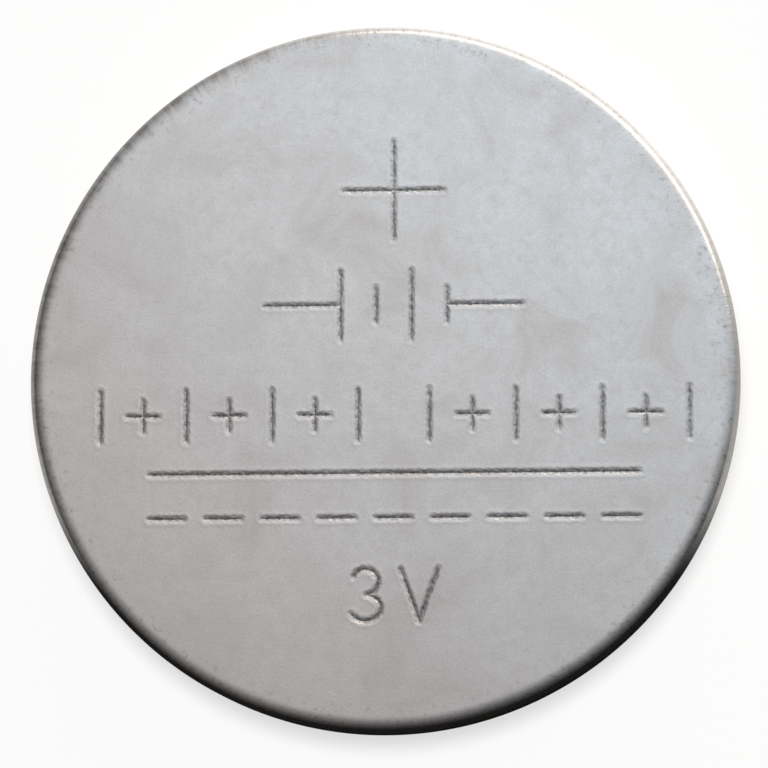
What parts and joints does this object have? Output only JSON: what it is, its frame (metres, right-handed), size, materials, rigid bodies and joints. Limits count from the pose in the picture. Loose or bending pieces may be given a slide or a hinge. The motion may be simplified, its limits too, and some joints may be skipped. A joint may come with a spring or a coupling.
{
  "type": "lithium coin cell",
  "caption": "Flat round coin cell: a drawn steel can crimped over a plastic gasket and a raised cap, with its electrodes inside, for a spring-contact battery holder.",
  "frame": {"origin": "centre of the flat negative contact face, which the cell lies on", "axes": "+Z along the cell's axis, out of the positive face; +Y towards the top of the stamped marks"},
  "size_m": [0.016, 0.016, 0.0016],
  "materials": {
    "nickel_plated_steel": "satin nickel plate over drawn stainless sheet",
    "blasted_steel": "fine matt grain",
    "polypropylene": "moulded, satin",
    "lithium": "rolled soft metal, dull",
    "polypropylene_fleece": "non-woven, matt",
    "manganese_dioxide": "pressed powder, matt",
    "perforated_steel": "thin etched sheet"
  },
  "bodies": {
    "root": {"positive_can": "nickel_plated_steel", "negative_cap": "blasted_steel", "gasket": "polypropylene", "lithium_anode": "lithium", "separator": "polypropylene_fleece", "cathode_pellet": "manganese_dioxide", "cathode_collector": "perforated_steel"}
  },
  "joints": []
}
